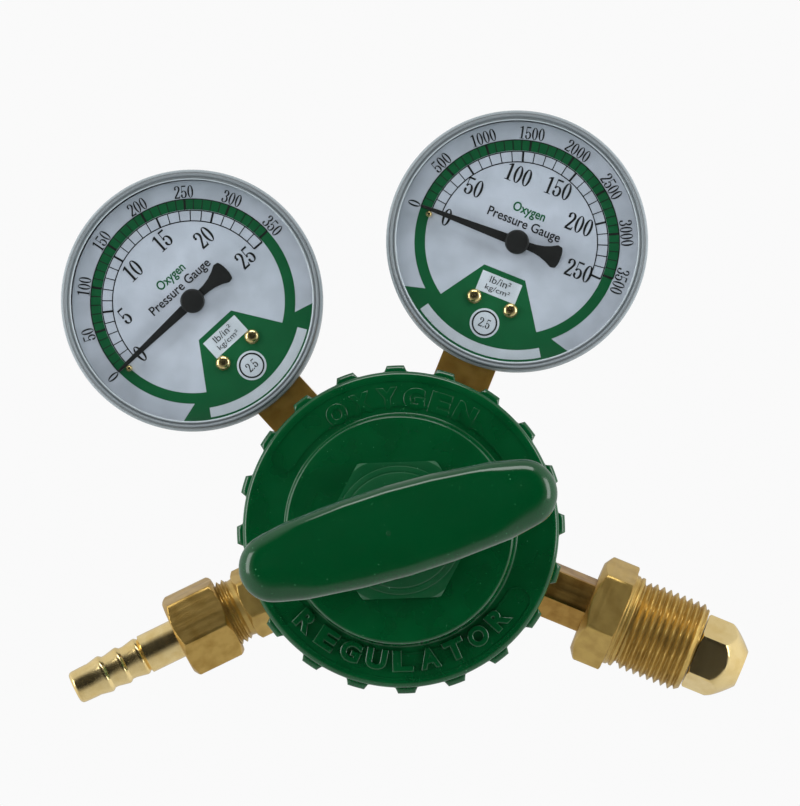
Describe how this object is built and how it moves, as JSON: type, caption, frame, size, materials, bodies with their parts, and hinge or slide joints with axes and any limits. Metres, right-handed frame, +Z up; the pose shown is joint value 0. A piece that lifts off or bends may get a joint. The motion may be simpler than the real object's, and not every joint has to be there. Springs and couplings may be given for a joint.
{
  "type": "gas regulator",
  "caption": "Cylinder gas regulator: brass body, round bonnet with a T-handle, dial gauges for inlet and outlet pressure, nut-and-nose inlet and a barbed hose tail.",
  "frame": {"origin": "centre of the rear plug's flat face, on the main axis", "axes": "+Y out of the rear face along the main axis; seen from the front (looking along +Y) +X is right and +Z is up; the T-handle faces -Y"},
  "size_m": [0.1688, 0.111, 0.1455],
  "materials": {
    "brass": "fine-turned brass, slightly dull",
    "polished_brass": "bright machined brass",
    "movement_brass": "stamped brass",
    "green_paint": "glossy green enamel",
    "green_handle": "glossy green moulding",
    "steel": "zinc-plated steel",
    "spring_steel": "dark spring wire",
    "rubber": "matte black rubber",
    "nylon": "natural nylon",
    "sintered_bronze": "porous sintered bronze",
    "case_black": "black enamel",
    "clear_plastic": "clear moulded acrylic",
    "dial_white": "matt white printed aluminium",
    "pointer_black": "matt black enamel"
  },
  "bodies": {
    "regulator": {"regulator_body": "brass", "rear_plug": "brass", "plug_gasket": "nylon", "valve_nozzle": "brass", "valve_spring": "spring_steel", "diaphragm": "rubber", "slip_ring": "steel", "range_spring": "spring_steel", "bonnet": "green_paint", "bonnet_bush": "green_paint", "inlet_stem": "brass", "inlet_nose": "polished_brass", "inlet_filter": "sintered_bronze", "outlet_adapter": "brass", "low_gauge_case": "case_black", "low_gauge_lens": "clear_plastic", "low_dial": "dial_white", "low_dial_screw_left": "polished_brass", "low_dial_screw_right": "polished_brass", "low_stop_pin": "polished_brass", "low_gauge_socket": "brass", "low_bourdon_tube": "movement_brass", "low_bourdon_tip": "movement_brass", "low_movement_back_plate": "movement_brass", "low_movement_front_plate": "movement_brass", "low_hairspring": "movement_brass", "high_gauge_case": "case_black", "high_gauge_lens": "clear_plastic", "high_dial": "dial_white", "high_dial_screw_left": "polished_brass", "high_dial_screw_right": "polished_brass", "high_stop_pin": "polished_brass", "high_gauge_socket": "brass", "high_bourdon_tube": "movement_brass", "high_bourdon_tip": "movement_brass", "high_movement_back_plate": "movement_brass", "high_movement_front_plate": "movement_brass", "high_hairspring": "movement_brass"},
    "spring_button": {"spring_button": "steel"},
    "adjusting_handle": {"adjusting_screw": "steel", "t_handle": "green_handle", "handle_pin": "steel"},
    "diaphragm_plate": {"diaphragm_plate": "brass"},
    "valve_poppet": {"valve_stem": "steel", "valve_seat": "rubber"},
    "inlet_nut": {"inlet_nut": "polished_brass"},
    "hose_tail": {"hose_barb": "polished_brass"},
    "union_nut": {"union_nut": "brass"},
    "low_pointer": {"low_pointer": "pointer_black", "low_pinion": "movement_brass"},
    "low_sector": {"low_sector": "movement_brass"},
    "low_link": {"low_link": "movement_brass"},
    "high_pointer": {"high_pointer": "pointer_black", "high_pinion": "movement_brass"},
    "high_sector": {"high_sector": "movement_brass"},
    "high_link": {"high_link": "movement_brass"}
  },
  "joints": [
    {"name": "button_slide", "type": "slide", "parent": "regulator", "child": "spring_button", "axis": [0, 1, 0], "range_m": [0, 0.0075], "deforming": ["range_spring"]},
    {"name": "screw_turn", "type": "hinge", "parent": "spring_button", "child": "adjusting_handle", "pos_m": [0, -0.0728, 0], "axis": [0, 1, 0], "range_deg": [0, 1801]},
    {"name": "diaphragm_slide", "type": "slide", "parent": "regulator", "child": "diaphragm_plate", "axis": [0, 1, 0], "range_m": [0, 0.0008], "deforming": ["diaphragm"]},
    {"name": "valve_slide", "type": "slide", "parent": "regulator", "child": "valve_poppet", "axis": [0, 1, 0], "range_m": [0, 0.00081], "deforming": ["valve_spring"]},
    {"name": "inlet_nut_spin", "type": "hinge", "parent": "regulator", "child": "inlet_nut", "pos_m": [0.04577, -0.022, -0.01886], "axis": [0.9245, 0, -0.3811], "continuous": true},
    {"name": "barb_slide", "type": "slide", "parent": "regulator", "child": "hose_tail", "axis": [-0.8988, 0, -0.4384], "range_m": [0, 0.00802]},
    {"name": "union_nut_turn", "type": "hinge", "parent": "hose_tail", "child": "union_nut", "pos_m": [-0.04314, -0.022, -0.02104], "axis": [-0.8988, 0, -0.4384], "range_deg": [0, 2161]},
    {"name": "low_pointer_turn", "type": "hinge", "parent": "regulator", "child": "low_pointer", "pos_m": [-0.05134, -0.022, 0.05603], "axis": [0, 1, 0], "range_deg": [0, 184], "deforming": ["low_hairspring", "low_bourdon_tube"]},
    {"name": "low_sector_turn", "type": "hinge", "parent": "regulator", "child": "low_sector", "pos_m": [-0.04176, -0.022, 0.05004], "axis": [0, 1, 0], "range_deg": [-23.1, 0]},
    {"name": "low_link_turn", "type": "hinge", "parent": "low_sector", "child": "low_link", "pos_m": [-0.03767, -0.022, 0.05298], "axis": [0, 1, 0], "range_deg": [0, 23.1]},
    {"name": "high_pointer_turn", "type": "hinge", "parent": "regulator", "child": "high_pointer", "pos_m": [0.02835, -0.022, 0.07052], "axis": [0, 1, 0], "range_deg": [0, 184], "deforming": ["high_hairspring", "high_bourdon_tube"]},
    {"name": "high_sector_turn", "type": "hinge", "parent": "regulator", "child": "high_sector", "pos_m": [0.02709, -0.022, 0.05929], "axis": [0, 1, 0], "range_deg": [-23.1, 0]},
    {"name": "high_link_turn", "type": "hinge", "parent": "high_sector", "child": "high_link", "pos_m": [0.0315, -0.022, 0.05686], "axis": [0, 1, 0], "range_deg": [0, 23.1]}
  ],
  "couplings": [
    {"joint": "screw_turn", "follows": "button_slide", "rad_per_m": 4188.8},
    {"joint": "valve_slide", "follows": "diaphragm_slide", "ratio": 1},
    {"joint": "union_nut_turn", "follows": "barb_slide", "rad_per_m": 4699.5},
    {"joint": "low_sector_turn", "follows": "low_pointer_turn", "ratio": -0.125},
    {"joint": "low_link_turn", "follows": "low_pointer_turn", "ratio": 0.125},
    {"joint": "high_sector_turn", "follows": "high_pointer_turn", "ratio": -0.125},
    {"joint": "high_link_turn", "follows": "high_pointer_turn", "ratio": 0.125}
  ]
}
